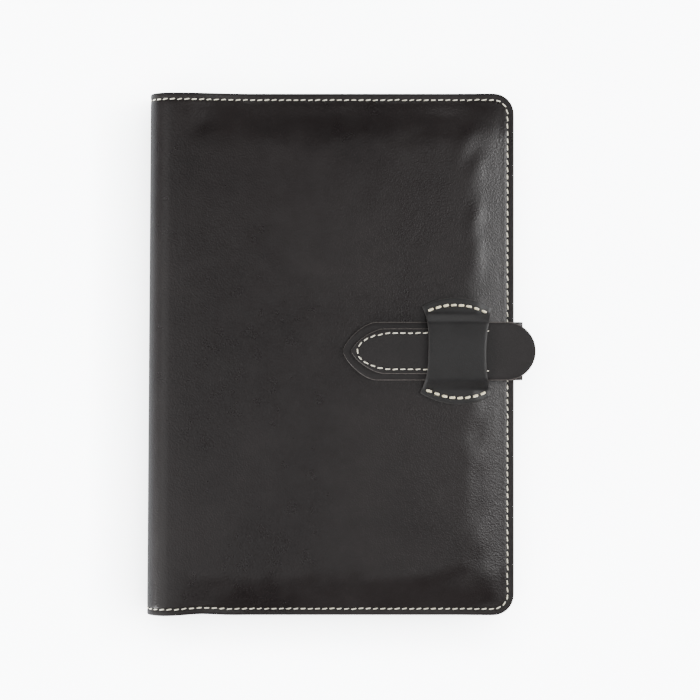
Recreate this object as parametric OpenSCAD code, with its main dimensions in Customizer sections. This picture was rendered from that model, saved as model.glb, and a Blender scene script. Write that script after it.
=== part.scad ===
// Leather notebook cover, closed, lying on its back cover.
// +X runs from the spine to the fore edge, +Y along the spine, +Z up through the front cover.
// The origin is the centre of the back cover's outside face.

/* [Cover] */
// Width of the closed cover, from the round of the spine to the fore edge
cover_w = 158.4; // [154:0.2:170]
// Height of the cover along the spine
cover_h = 226.4; // [222:0.2:236]
// Thickness of the closed cover over its two outside faces
cover_t = 22; // [21:0.5:26]
// Radius of the two fore-edge corners
corner_r = 9; // [4:0.2:9]
// Outside radius of the leather where it turns from a panel into the spine
spine_r = 9.5; // [8:0.25:10]

/* [Layers] */
// Thickness of the outer leather
leather_t = 1.4; // [1.2:0.1:2]
// Thickness of the padded board behind the leather
pad_t = 2; // [1.8:0.1:2.4]
// Distance of the padded board from the cover's edges
pad_inset = 12.2; // [9:0.2:16]
// Thickness of the lining
lining_t = 0.6; // [0.4:0.1:0.8]
// Thickness of the inner pockets
pocket_t = 0.8; // [0.6:0.1:1]
// Width of the inner pockets, from the fore edge
pocket_w = 58; // [40:1:80]

/* [Stitching] */
// Distance of the edge seam from the cover's edge
seam_inset = 2.6; // [2:0.1:3]
// Distance from one stitch to the next
stitch_pitch = 3.15; // [3:0.05:4]
// Length of one stitch
stitch_len = 2.5; // [2:0.1:2.8]
// Width of the thread in the edge seam and in the strap
thread_w = 0.75; // [0.5:0.05:0.9]
// Depth of the groove that the thread lies in, and height of the thread
thread_t = 0.5; // [0.3:0.05:0.5]

/* [Strap] */
// Width of the strap
strap_w = 25.2; // [22:0.2:30]
// Height of the strap's middle above the cover's middle
strap_y = 1.4; // [-5:0.1:5]
// Thickness of the strap's lower layer
strap_t = 1.6; // [1.4:0.1:1.8]
// Place of the pointed end of the strap
tongue_x = 5; // [0:1:12]
// Length of the pointed part
point_len = 14; // [12:0.5:18]
// How far the strap stands out past the fore edge
strap_out = 3.65; // [3.4:0.05:4.2]
// Length of strap sewn in between the back leather and the lining
root_len = 24; // [18:1:30]

/* [Pull tab] */
// Thickness of the upper layer, which ends in the pull tab
tab_t = 1.2; // [1:0.1:1.3]
// Distance of the upper layer's edge inside the strap's edge, at the pointed end
tab_step = 2.8; // [2:0.1:3.5]
// Centre of the pull tab's round end
tab_centre_x = 75.4; // [74:0.2:78]
// Distance of the strap's seam inside the strap's edge
tab_seam_inset = 5.2; // [4.6:0.1:6]

/* [Keeper] */
// Thickness of the keeper
keeper_t = 1.4; // [1.2:0.1:1.5]
// Place of the keeper's left corners
keeper_x0 = 39.2; // [36:0.2:44]
// Place of the keeper's right corners
keeper_x1 = 68.4; // [66:0.2:71]
// Half the distance between the keeper's upper and lower corners
keeper_half = 19; // [18:0.2:22]
// How far the keeper's ends bow out between their corners
keeper_bow = 3.4; // [1:0.2:5]
// How far the keeper's sides are drawn in between their corners
keeper_waist = 2.4; // [0:0.2:4]
// Length of one of the keeper's stitches
keeper_stitch_len = 2.7; // [2:0.1:3]
// Width of the keeper's thread
keeper_thread_w = 1.2; // [0.8:0.1:1.5]

/* [Refill] */
// Width of the notebook's leaves
leaf_w = 146; // [140:1:148]
// Height of the notebook's leaves
leaf_h = 210; // [200:1:210]
// Thickness of the notebook's card cover
card_t = 0.8; // [0.4:0.1:1]

/* [Hidden] */
$fn = 64;

// Colours
leather_c = [0.19, 0.17, 0.17];
lining_c = [0.16, 0.14, 0.13];
thread_c = [0.86, 0.80, 0.66];
board_c = [0.55, 0.52, 0.47];
paper_c = [0.93, 0.91, 0.85];
card_c = [0.24, 0.22, 0.21];

// Cover
half_w = cover_w / 2;
half_h = cover_h / 2;
fold_x = -half_w + spine_r;          // where the flat panels end and the spine begins
flat_spine = cover_t - 2 * spine_r;  // straight stretch in the middle of the spine
eps = 0.01;

// Heights above the back cover's outside face, which the front cover mirrors
lining_z = leather_t;                      // the lining, where it is sewn to the leather
pad_top = leather_t + pad_t;
tray_top = pad_top + lining_t;             // the lining, over the padded board
root_top = leather_t + strap_t;
bridge_top = root_top + lining_t;          // the lining, over the strap's sewn end

// Padded board
pad_x0 = fold_x + 4;
pad_x1 = half_w - pad_inset;
pad_y = half_h - pad_inset;

// Pockets
pocket_x0 = half_w - pocket_w;
pocket_z = lining_z + lining_t;            // the pocket, where it is sewn to the lining
leaf_x0 = fold_x - 1.8;
leaf_x1 = leaf_x0 + leaf_w;
leaf_y = leaf_h / 2;
slot_gap = 0.5;                            // room around the card in the pocket
slot_x1 = leaf_x1 + slot_gap;
slot_y = leaf_y + slot_gap;
empty_slot = 0.3;                          // what the empty front pocket stands open
back_pocket_top = tray_top + card_t + pocket_t;
front_pocket_top = tray_top + empty_slot + pocket_t;

// Notebook
mid_z = cover_t / 2;
leaf_gap = 0.05;                           // half the gap between the two halves of the leaves
front_gap = 0.3;                           // room between the notebook and the front cover
card_top = cover_t - front_pocket_top - front_gap;
back_card_t = 0.4;                         // the card where it is folded round the leaves
ease_len = 6;                              // the leaves give way this far beside the pocket's edge

// Edge seam
seam_x1 = half_w - seam_inset;
seam_y = half_h - seam_inset;
seam_r = corner_r - seam_inset;
groove_w = thread_w + 0.2;
head_len = seam_x1 - seam_r - fold_x;
turn_len = PI / 2 * seam_r;
fore_len = 2 * (seam_y - seam_r);
seam_len = 2 * (head_len + turn_len) + fore_len;
seam_n = round(seam_len / stitch_pitch);

// Seam across the head and the tail of the spine
spine_turn_r = spine_r - thread_t / 2;
spine_turn_len = PI / 2 * spine_turn_r;
spine_seam_len = 2 * spine_turn_len + flat_spine;
spine_seam_n = round(spine_seam_len / stitch_pitch);

// Strap
strap_gap = 0.05;                          // between the front cover and the strap
tongue_z = cover_t + strap_gap;
tab_z = tongue_z + strap_t;
tab_top = tab_z + tab_t;
strap_x = half_w + strap_out;              // outside face of the strap beside the fore edge
turn_in = 1.25;                            // inside radius of the strap's two turns
turn_out = turn_in + strap_t;
turn_x = strap_x - turn_out;               // centre of the two turns
low_turn_z = leather_t + turn_out;
high_turn_z = tab_z - turn_out;
layer_point = [point_len, 1.5, 0.7];       // shape of a layer's point: its length, how late it leaves the edges, how sharp it is
seam_point = [16, 2, 0.5];                 // the seam turns in a round arc instead
point_steps = 14;
point_crowding = 1.5;                      // the outline's corners crowd towards the point

// Pull tab
tab_r = strap_w / 2;
tab_end_steps = 36;
tab_widen_x0 = 48;                         // the upper layer widens from here
tab_widen_x1 = 60;                         // to here, hidden by the keeper
tab_widen_steps = 6;
tab_free_x = 69;                           // from here the upper layer isn't sewn down
tab_skive = 0.3;                           // what the free end is thinned by, underneath
point_lead = 1.3;                          // a point steps back this much more than its edges do
tab_x0 = tongue_x + tab_step * point_lead;
tab_seam_x0 = tongue_x + tab_seam_inset * point_lead;
tab_seam_x1 = 67.5;
tab_seam_half = strap_w / 2 - tab_seam_inset;
tab_stitch_pitch = 3.35;
tab_groove_w = 1.2;
tip_stitch_back = 0.1;                     // the stitch across the point lies a little inside the arc

// Keeper
keeper_under = tab_top + 0.25;
keeper_top = keeper_under + keeper_t;
keeper_side = strap_w / 2 + 0.5;           // half the width of the space for the strap
keeper_slope = 2.6;                        // the keeper comes down to the cover within this
arch_top_wall = 0.4;                       // the arch is this much wider outside than inside at its top
arch_foot_wall = 0.6;                      // and this much wider at its feet
keeper_seam_in = 3;                        // distance of the stitches inside the keeper's ends
keeper_stitch_n = 8;
keeper_stitch_pitch = 3.2;
keeper_seam_follow = 0.8;                  // share of the ends' bow that the stitches follow
keeper_thread_t = 0.6;
arc_steps = 16;
spare = 1;                                 // how far a cut runs on past the solid it cuts

// ---------- shapes that several pieces share ----------

// Flat outline of a panel: square at the fold, round at the two fore-edge corners
module panel_outline(inset = 0) {
    r = corner_r - inset;
    x1 = half_w - inset;
    y1 = half_h - inset;
    translate([fold_x, -y1]) square([x1 - r - fold_x, 2 * y1]);
    translate([x1 - r - eps, -y1 + r]) square([r + eps, 2 * (y1 - r)]);
    for (side = [-1, 1]) translate([x1 - r, side * (y1 - r)]) circle(r);
}

// A block between two corners
module block(low, high) {
    translate(low) cube(high - low);
}

// The front cover's pieces are made upside down, as for the back, and turned over
module turned_over() {
    translate([0, 0, cover_t]) mirror([0, 0, 1]) children();
}

// Groove for the edge seam, in the face at z = 0
module seam_groove() {
    translate([0, 0, -eps]) linear_extrude(thread_t + eps) difference() {
        panel_outline(seam_inset - groove_w / 2);
        difference() {
            panel_outline(seam_inset + groove_w / 2);
            translate([fold_x - eps, -half_h]) square([eps * 2, cover_h]);
        }
    }
}

// Place and direction of the edge seam, a length s along it from the head end of the fold
function seam_half(s) =
    s < head_len ? [fold_x + s, seam_y, 0]
    : s < head_len + turn_len ?
        let (a = (s - head_len) / turn_len * 90)
        [seam_x1 - seam_r + seam_r * sin(a), seam_y - seam_r + seam_r * cos(a), -a]
    : [seam_x1, seam_y - seam_r - (s - head_len - turn_len), -90];
function seam_at(s) =
    let (p = seam_half(min(s, seam_len - s)))
    s < seam_len / 2 ? p : [p[0], -p[1], -p[2]];

module edge_stitches() {
    for (i = [0 : seam_n - 1]) {
        p = seam_at((i + 0.5) * seam_len / seam_n);
        translate([p[0], p[1], thread_t / 2]) rotate([0, 0, p[2]])
            cube([stitch_len, thread_w, thread_t], center = true);
    }
}

// Space of the padded board, grown by a layer around it and lying on height z0
module pad_space(grow, z0, z1) {
    block([pad_x0 - grow, -pad_y - grow, z0], [pad_x1 + grow, pad_y + grow, z1]);
}

// Space of the strap's sewn end
module root_space(grow, z0, z1, x1) {
    block([half_w - root_len - grow, strap_y - strap_w / 2 - grow, z0],
          [x1, strap_y + strap_w / 2 + grow, z1]);
}

module outer_panel() {
    difference() {
        linear_extrude(leather_t) panel_outline();
        seam_groove();
    }
}

// Lining: flat at the seam, raised over the padded board and over the strap's sewn end
module lining_sheet(with_root) {
    difference() {
        union() {
            translate([0, 0, lining_z]) linear_extrude(lining_t) panel_outline();
            pad_space(lining_t, lining_z, tray_top);
            if (with_root) root_space(lining_t, lining_z, bridge_top, half_w);
        }
        pad_space(0, lining_z - eps, pad_top);
        if (with_root) root_space(0, lining_z - eps, root_top, half_w + spare);
    }
}

// Pocket: sewn at the head, fore edge and tail, and open towards the spine
module pocket_sheet(top, with_root) {
    difference() {
        union() {
            translate([0, 0, pocket_z]) linear_extrude(pocket_t) intersection() {
                panel_outline();
                translate([pocket_x0, -half_h]) square([pocket_w, cover_h]);
            }
            block([pocket_x0, -slot_y - pocket_t, pocket_z], [slot_x1 + pocket_t, slot_y + pocket_t, top]);
            if (with_root)
                root_space(lining_t + pocket_t, pocket_z, bridge_top + pocket_t, half_w);
        }
        block([pocket_x0 - spare, -slot_y, pocket_z - eps], [slot_x1, slot_y, top - pocket_t]);
        if (with_root) root_space(lining_t, pocket_z - eps, bridge_top, half_w + spare);
    }
}

// Section of the spine, a sheet between two depths under the outside of the leather
module spine_section(depth0, depth1) {
    difference() {
        spine_outline(depth0);
        spine_outline(depth1);
    }
}

module spine_outline(depth) {
    r = spine_r - depth;
    for (z = [spine_r, cover_t - spine_r]) intersection() {
        translate([fold_x, z]) circle(r);
        translate([fold_x - spine_r, 0]) square([spine_r, cover_t]);
    }
    translate([fold_x - r, spine_r]) square([r, flat_spine]);
}

// Stands a section in X and Z up as a solid along Y, between y0 and y1
module along_y(y0, y1) {
    translate([0, y1, 0]) rotate([90, 0, 0]) linear_extrude(y1 - y0) children();
}

// Place and direction of the seam across the spine, a length s along it from the back panel
function spine_seam_at(s) =
    s < spine_turn_len ?
        let (a = s / spine_turn_len * 90)
        [fold_x - spine_turn_r * sin(a), spine_r - spine_turn_r * cos(a), a]
    : s < spine_turn_len + flat_spine ?
        [fold_x - spine_turn_r, spine_r + s - spine_turn_len, 90]
    : let (a = (s - spine_turn_len - flat_spine) / spine_turn_len * 90)
        [fold_x - spine_turn_r * cos(a), cover_t - spine_r + spine_turn_r * sin(a), 90 + a];

// Half of a pointed end's width at x, for a point of some shape at x0 on a strip of half width w
function point_half(x, x0, w, shape) =
    x >= x0 + shape[0] ? w
    : w * pow(max(0, 1 - pow((x0 + shape[0] - x) / shape[0], shape[1])), shape[2]);

// Smooth change from 0 to 1 between a and b
function ease(x, a, b) = let (t = max(0, min(1, (x - a) / (b - a)))) t * t * (3 - 2 * t);

// Points along a pointed strip from its point at x0 to x1, on one side
function strip_side(x0, x1, w0, w1, shape) = concat(
    [for (i = [0 : point_steps]) let (x = x0 + shape[0] * pow(i / point_steps, point_crowding))
        [x, point_half(x, x0, w0, shape)]],
    w0 == w1 ? [] : [for (i = [0 : tab_widen_steps])
        let (x = tab_widen_x0 + (tab_widen_x1 - tab_widen_x0) * i / tab_widen_steps)
        [x, w0 + (w1 - w0) * ease(x, tab_widen_x0, tab_widen_x1)]],
    [[x1, w1]]
);
module pointed_strip(x0, x1, w, shape) {
    side = strip_side(x0, x1, w, w, shape);
    n = len(side);
    translate([0, strap_y]) polygon(concat(side, [for (i = [0 : n - 2]) [side[n - 1 - i][0], -side[n - 1 - i][1]]]));
}

// ---------- back cover ----------

module back_leather() {
    color(leather_c) outer_panel();
}

module back_board() {
    color(board_c) difference() {
        pad_space(0, leather_t, pad_top);
        root_space(0, leather_t - eps, root_top, half_w);
    }
}

module back_lining() {
    color(lining_c) lining_sheet(true);
}

module back_pocket() {
    color(leather_c) pocket_sheet(back_pocket_top, true);
}

module back_thread() {
    color(thread_c) edge_stitches();
}

module strap_root() {
    color(leather_c) root_space(0, leather_t, root_top, turn_x);
}

// Card cover of the notebook, tucked into the back pocket and folded round the leaves
module refill_back_card() {
    color(card_c) union() {
        block([leaf_x0, -leaf_y, tray_top], [leaf_x1, leaf_y, tray_top + card_t]);
        block([leaf_x0 - back_card_t, -leaf_y, tray_top], [leaf_x0, leaf_y, mid_z - leaf_gap]);
    }
}

module refill_back_leaves() {
    color(paper_c) along_y(-leaf_y, leaf_y) polygon([
        [leaf_x0, tray_top + card_t],
        [pocket_x0 - ease_len, tray_top + card_t],
        [pocket_x0, back_pocket_top],
        [leaf_x1, back_pocket_top],
        [leaf_x1, mid_z - leaf_gap],
        [leaf_x0, mid_z - leaf_gap]
    ]);
}

// ---------- spine ----------

module spine_leather() {
    color(leather_c) difference() {
        along_y(-half_h, half_h) spine_section(0, leather_t);
        for (y = [-seam_y, seam_y])
            along_y(y - groove_w / 2, y + groove_w / 2) spine_section(-spare, thread_t);
    }
}

module spine_lining() {
    color(lining_c) along_y(-half_h, half_h) spine_section(leather_t, leather_t + lining_t);
}

module spine_thread() {
    color(thread_c) for (y = [-seam_y, seam_y], i = [0 : spine_seam_n - 1]) {
        p = spine_seam_at((i + 0.5) * spine_seam_len / spine_seam_n);
        translate([p[0], y, p[1]]) rotate([0, p[2], 0])
            cube([stitch_len, thread_w, thread_t], center = true);
    }
}

// ---------- front cover ----------

module front_leather() {
    color(leather_c) turned_over() outer_panel();
}

module front_board() {
    color(board_c) turned_over() pad_space(0, leather_t, pad_top);
}

module front_lining() {
    color(lining_c) turned_over() lining_sheet(false);
}

module front_pocket() {
    color(leather_c) turned_over() pocket_sheet(front_pocket_top, false);
}

module front_thread() {
    color(thread_c) turned_over() edge_stitches();
}

// ---------- keeper ----------

// Points on the arc from p to q that bows out to its left by the height h
function bow(p, q, h) = [for (i = [0 : arc_steps - 1]) let (t = i / arc_steps, d = q - p, n = [-d[1], d[0]] / norm(d))
    p + t * d + 4 * h * t * (1 - t) * n];

module keeper_outline() {
    x0 = keeper_x0;
    x1 = keeper_x1;
    y0 = strap_y - keeper_half;
    y1 = strap_y + keeper_half;
    polygon(concat(
        bow([x0, y0], [x0, y1], -keeper_waist),
        bow([x0, y1], [x1, y1], keeper_bow),
        bow([x1, y1], [x1, y0], -keeper_waist),
        bow([x1, y0], [x0, y0], keeper_bow)
    ));
}

// Section of the keeper across the strap: two feet on the cover and an arch between them
module keeper_section() {
    far = keeper_half + keeper_bow + spare;
    slope_end = keeper_side + keeper_slope;
    difference() {
        polygon([
            [-far, cover_t], [far, cover_t], [far, cover_t + keeper_t],
            [slope_end + arch_foot_wall, cover_t + keeper_t],
            [keeper_side + arch_top_wall, keeper_top], [-keeper_side - arch_top_wall, keeper_top],
            [-slope_end - arch_foot_wall, cover_t + keeper_t], [-far, cover_t + keeper_t]
        ]);
        polygon([
            [-slope_end, cover_t - spare], [slope_end, cover_t - spare], [slope_end, cover_t],
            [keeper_side, keeper_under], [-keeper_side, keeper_under], [-slope_end, cover_t]
        ]);
    }
}

module keeper() {
    color(leather_c) intersection() {
        linear_extrude(cover_t * 2) keeper_outline();
        translate([keeper_x0 - spare, strap_y, 0]) rotate([90, 0, 90])
            linear_extrude(keeper_x1 - keeper_x0 + 2 * spare) keeper_section();
    }
}

// A row of stitches that follows one end of the keeper; side is 1 at the head and -1 at the tail
module keeper_stitches(side) {
    width = keeper_x1 - keeper_x0;
    for (i = [0 : keeper_stitch_n - 1]) {
        u = (i - (keeper_stitch_n - 1) / 2) * keeper_stitch_pitch;
        rise = keeper_bow * (1 - pow(2 * u / width, 2));
        lean = -atan(8 * keeper_bow * u / pow(width, 2));
        translate([
            (keeper_x0 + keeper_x1) / 2 + u,
            strap_y + side * (keeper_half - keeper_seam_in + rise * keeper_seam_follow),
            cover_t + keeper_t + keeper_thread_t / 2
        ]) rotate([0, 0, side * lean])
            cube([keeper_stitch_len, keeper_thread_w, keeper_thread_t], center = true);
    }
}

module keeper_thread_top() {
    color(thread_c) keeper_stitches(1);
}

module keeper_thread_bottom() {
    color(thread_c) keeper_stitches(-1);
}

// ---------- turning half of the notebook ----------

module refill_front_leaves() {
    color(paper_c) block([leaf_x0, -leaf_y, mid_z + leaf_gap], [leaf_x1, leaf_y, card_top - card_t]);
}

module refill_front_card() {
    color(card_c) union() {
        block([leaf_x0, -leaf_y, card_top - card_t], [leaf_x1, leaf_y, card_top]);
        block([leaf_x0 - back_card_t, -leaf_y, mid_z + leaf_gap], [leaf_x0, leaf_y, card_top]);
    }
}

// ---------- strap ----------

// One quarter of the strap's turn, around (turn_x, z); up is 1 for the upper turn and -1 for the lower
module strap_turn(z, up) {
    intersection() {
        translate([turn_x, z]) difference() {
            circle(turn_out);
            circle(turn_in);
        }
        translate([turn_x, up > 0 ? z : z - turn_out]) square(turn_out);
    }
}

module strap_side() {
    color(leather_c) along_y(strap_y - strap_w / 2, strap_y + strap_w / 2) {
        strap_turn(low_turn_z, -1);
        strap_turn(high_turn_z, 1);
        translate([turn_x + turn_in, low_turn_z]) square([strap_t, high_turn_z - low_turn_z]);
    }
}

module strap_tongue() {
    color(leather_c) translate([0, 0, tongue_z])
        linear_extrude(strap_t) pointed_strip(tongue_x, turn_x, strap_w / 2, layer_point);
}

// Upper layer of the strap: pointed at one end, and round at the pull tab
module tab_outline() {
    side = strip_side(tab_x0, tab_centre_x, strap_w / 2 - tab_step, tab_r, layer_point);
    n = len(side);
    translate([0, strap_y]) polygon(concat(
        side,
        [for (i = [1 : tab_end_steps - 1]) let (a = 180 * i / tab_end_steps)
            [tab_centre_x + tab_r * sin(a), tab_r * cos(a)]],
        [for (i = [0 : n - 2]) [side[n - 1 - i][0], -side[n - 1 - i][1]]]
    ));
}

// Outline inside the strap's seam, moved out by d
module tab_seam_outline(d) {
    pointed_strip(tab_seam_x0 - d, tab_seam_x1, tab_seam_half + d, seam_point);
}

module pull_tab() {
    color(leather_c) difference() {
        translate([0, 0, tab_z]) linear_extrude(tab_t) tab_outline();
        translate([0, 0, tab_top - thread_t]) linear_extrude(thread_t + spare) difference() {
            tab_seam_outline(tab_groove_w / 2);
            translate([eps, 0]) tab_seam_outline(-tab_groove_w / 2);
        }
        block([tab_free_x, -half_h, tab_z - spare], [half_w * 2, half_h, tab_z + tab_skive]);
    }
}

// The strap's seam on one side, from the point to the keeper: its points, and how far along it each one is
tab_seam_side = strip_side(tab_seam_x0, tab_seam_x1, tab_seam_half, tab_seam_half, seam_point);
tab_seam_run = [for (i = 0, s = 0; i < len(tab_seam_side);
    s = s + (i + 1 < len(tab_seam_side) ? norm(tab_seam_side[i + 1] - tab_seam_side[i]) : 0), i = i + 1) s];
function tab_seam_at(s) = [for (axis = [0, 1])
    lookup(s, [for (i = [0 : len(tab_seam_side) - 1]) [tab_seam_run[i], tab_seam_side[i][axis]]])];

// One of the strap's stitches, centred at p and lying at an angle
module strap_stitch(p, angle) {
    translate([p[0], strap_y + p[1], tab_top - thread_t / 2]) rotate([0, 0, angle])
        cube([stitch_len, thread_w, thread_t], center = true);
}

// One stitch across the point, and a row along each side
module strap_thread() {
    n = floor((tab_seam_run[len(tab_seam_run) - 1] - stitch_len / 2) / tab_stitch_pitch);
    color(thread_c) {
        strap_stitch([tab_seam_x0 + tip_stitch_back, 0], 90);
        for (side = [-1, 1], i = [1 : n]) {
            s = i * tab_stitch_pitch;
            p = tab_seam_at(s);
            d = tab_seam_at(s + stitch_len / 2) - tab_seam_at(s - stitch_len / 2);
            strap_stitch([p[0], side * p[1]], side * atan2(d[1], d[0]));
        }
    }
}

back_leather();
back_board();
back_lining();
back_pocket();
back_thread();
strap_root();
refill_back_card();
refill_back_leaves();
spine_leather();
spine_lining();
spine_thread();
front_leather();
front_board();
front_lining();
front_pocket();
front_thread();
keeper();
keeper_thread_top();
keeper_thread_bottom();
refill_front_leaves();
refill_front_card();
strap_side();
strap_tongue();
pull_tab();
strap_thread();
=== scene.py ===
"""Leather notebook cover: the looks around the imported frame.
Lengths are in millimetres until a mesh is made."""
import math

import bmesh
import bpy
import numpy as np
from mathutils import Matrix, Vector


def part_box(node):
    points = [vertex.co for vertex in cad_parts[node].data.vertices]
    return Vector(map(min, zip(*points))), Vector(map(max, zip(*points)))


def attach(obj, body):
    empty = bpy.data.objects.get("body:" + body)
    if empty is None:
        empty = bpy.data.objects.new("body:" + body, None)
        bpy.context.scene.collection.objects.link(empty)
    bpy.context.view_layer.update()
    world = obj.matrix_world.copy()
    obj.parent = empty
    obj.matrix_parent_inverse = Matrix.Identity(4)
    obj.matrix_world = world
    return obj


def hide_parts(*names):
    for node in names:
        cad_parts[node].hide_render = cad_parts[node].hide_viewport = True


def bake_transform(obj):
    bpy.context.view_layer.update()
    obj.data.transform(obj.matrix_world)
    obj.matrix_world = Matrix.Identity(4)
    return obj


MM = 0.001

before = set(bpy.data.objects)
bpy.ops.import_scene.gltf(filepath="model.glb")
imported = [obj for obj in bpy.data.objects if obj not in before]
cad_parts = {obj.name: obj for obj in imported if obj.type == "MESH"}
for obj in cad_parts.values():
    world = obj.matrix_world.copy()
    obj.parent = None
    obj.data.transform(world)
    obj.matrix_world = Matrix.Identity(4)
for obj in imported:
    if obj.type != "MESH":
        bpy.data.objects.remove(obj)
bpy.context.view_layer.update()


# ---------- camera, light and floor ----------

CAMERA_HEIGHT = 760.0     # above the front cover
VIEW_WIDTH = 302.4        # what the picture spans, at the front cover's height
VIEW_CENTRE = (8.1, 1.9)
SENSOR_MM = 36.0


def add_camera(front_z):
    data = bpy.data.cameras.new("camera")
    data.sensor_width = SENSOR_MM
    data.lens = SENSOR_MM * CAMERA_HEIGHT / VIEW_WIDTH
    data.clip_start = 0.01
    camera = bpy.data.objects.new("camera", data)
    camera.location = (VIEW_CENTRE[0] * MM, VIEW_CENTRE[1] * MM, (front_z + CAMERA_HEIGHT) * MM)
    bpy.context.scene.collection.objects.link(camera)
    bpy.context.scene.camera = camera


def add_area_light(name, place, aim, size, watts):
    data = bpy.data.lights.new(name, "AREA")
    data.shape = "RECTANGLE"
    data.size, data.size_y = size
    data.energy = watts
    light = bpy.data.objects.new(name, data)
    light.location = place
    light.rotation_euler = (Vector(aim) - Vector(place)).to_track_quat("-Z", "Y").to_euler()
    bpy.context.scene.collection.objects.link(light)


def add_lights():
    middle = (0.0, 0.0, 0.0)
    add_area_light("right_softbox", (0.66, 0.0, 1.02), (0.07, 0.0, 0.0), (0.44, 1.05), 4.2)
    add_area_light("top_softbox", (-0.80, -0.30, 1.85), middle, (1.7, 1.2), 9.6)
    add_area_light("left_softbox", (-1.20, -0.30, 0.62), middle, (1.1, 1.5), 5.5)
    add_area_light("right_low_softbox", (1.50, 0.30, 0.62), middle, (0.7, 1.7), 48)
    add_area_light("head_softbox", (-0.2, 1.6, 0.50), middle, (1.6, 0.6), 10)
    add_area_light("tail_softbox", (-1.15, -1.05, 0.40), middle, (1.0, 0.4), 42)
    world = bpy.data.worlds.new("studio")
    bpy.context.scene.world = world
    world.use_nodes = True
    background = world.node_tree.nodes["Background"]
    background.inputs["Color"].default_value = (0.96, 0.98, 1.0, 1.0)
    background.inputs["Strength"].default_value = 0.07


def add_stage_plane(name, low, high, colour, strength):
    """A level plane of the studio; its strength is the light that it gives back.
    Returns it and its shader."""
    mesh = bpy.data.meshes.new(name)
    z = low[2]
    corners = [low, (high[0], low[1], z), (high[0], high[1], z), (low[0], high[1], z)]
    mesh.from_pydata(corners, [], [(0, 1, 2, 3)])
    plane = bpy.data.objects.new(name, mesh)
    bpy.context.scene.collection.objects.link(plane)
    material = bpy.data.materials.new(name)
    material.use_nodes = True
    shader = material.node_tree.nodes["Principled BSDF"]
    shader.inputs["Base Color"].default_value = (*colour, 1)
    shader.inputs["Roughness"].default_value = 0.9
    shader.inputs["Emission Color"].default_value = (*colour, 1)
    shader.inputs["Emission Strength"].default_value = strength
    mesh.materials.append(material)
    return plane, material.node_tree, shader


def add_floor():
    """White sweep that glows evenly, times an ambient occlusion: a painted soft shadow, darker close to the
    object on the side away from the key light.
    """
    white = (0.96, 0.98, 1.0)
    brightness = 9.0
    floor, tree, shader = add_stage_plane("floor", (-3.0, -3.0, 0.0), (3.0, 3.0, 0.0), white, brightness)
    floor.visible_glossy = False
    # The occlusion leans towards the key light, so its painted shadow falls on the side away from it.
    shadow_lean = tree.nodes.new("ShaderNodeCombineXYZ")
    for socket, value in zip(shadow_lean.inputs, (0.42, 0.42, 0.80)):
        socket.default_value = value
    painted_shadow_ao = tree.nodes.new("ShaderNodeAmbientOcclusion")
    painted_shadow_ao.inputs["Distance"].default_value = 0.030
    tree.links.new(shadow_lean.outputs["Vector"], painted_shadow_ao.inputs["Normal"])
    # Painted shadow: the floor's glow is multiplied by the occlusion.
    painted_shadow_glow = tree.nodes.new("ShaderNodeMath")
    painted_shadow_glow.operation = "MULTIPLY"
    painted_shadow_glow.inputs[1].default_value = brightness
    tree.links.new(painted_shadow_ao.outputs["AO"], painted_shadow_glow.inputs[0])
    tree.links.new(painted_shadow_glow.outputs["Value"], shader.inputs["Emission Strength"])


def add_bounce_card():
    """Grey card on the floor beside the spine, which gives the spine's edge its thin light line."""
    low, high = (-0.9, -0.5, 0.0005), (-0.084, 0.5, 0.0005)
    card, _, _ = add_stage_plane("bounce_card", low, high, (0.9, 0.96, 1.0), 0.06)
    card.visible_camera = False
    card.visible_diffuse = False
    card.visible_shadow = False


# ---------- sizes, all read from the frame ----------

def box_mm(node):
    low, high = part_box(node)
    return Vector(low) / MM, Vector(high) / MM


back_low, back_high = box_mm("back_leather")
_, front_high = box_mm("front_leather")
spine_low, _ = box_mm("spine_leather")
board_low, board_high = box_mm("back_board")
pocket_low, _ = box_mm("back_pocket")
leaf_low, leaf_high = box_mm("refill_back_leaves")
front_leaf_low, front_leaf_high = box_mm("refill_front_leaves")
side_low, side_high = box_mm("strap_side")
tongue_low, tongue_high = box_mm("strap_tongue")
tab_low, tab_high = box_mm("pull_tab")
_, keeper_high = box_mm("keeper")
root_low, _ = box_mm("strap_root")

FOLD_X = back_low.x
HALF_W = back_high.x
HALF_H = back_high.y
COVER_T = front_high.z
MID_Z = COVER_T / 2
LEATHER_T = back_high.z
SPINE_R = FOLD_X - spine_low.x
SPINE_HALF_FLAT = MID_Z - SPINE_R
SPINE_TURN = math.pi / 2 * SPINE_R
PANEL_U = SPINE_HALF_FLAT + SPINE_TURN          # where the panel begins, along the leather from mid-spine
EDGE_U = PANEL_U + HALF_W - FOLD_X              # the fore edge, along the leather
CORNER_R = 9.0
PAD_T = board_high.z - board_low.z
LINING_T = 0.6
POCKET_T = 0.8
CARD_T = 0.8

SEAM_INSET = 2.8
STITCH_PITCH = 3.15
STITCH_LEN = 2.45
THREAD_R = 0.255

STRAP_W = side_high.y - side_low.y
STRAP_Y = (side_high.y + side_low.y) / 2
STRAP_T = tongue_high.z - tongue_low.z
STRAP_TURN_R = STRAP_T + 1.25                   # outside radius of the strap's two bends
STRAP_TURN_X = side_high.x - STRAP_TURN_R
TAB_T = tab_high.z - tab_low.z
POINT_LEN = 14.0
TAB_R = STRAP_W / 2
TAB_CENTRE_X = tab_high.x - TAB_R
TAB_STEP = 2.8
TAB_SEAM_INSET = 4.8
POINT_LEAD = 1.3
TAB_SEAM_END = 66.8

KEEPER_T = 1.4


# ---------- number helpers ----------

def smooth(t):
    t = np.clip(t, 0.0, 1.0)
    return t * t * (3.0 - 2.0 * t)


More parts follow.
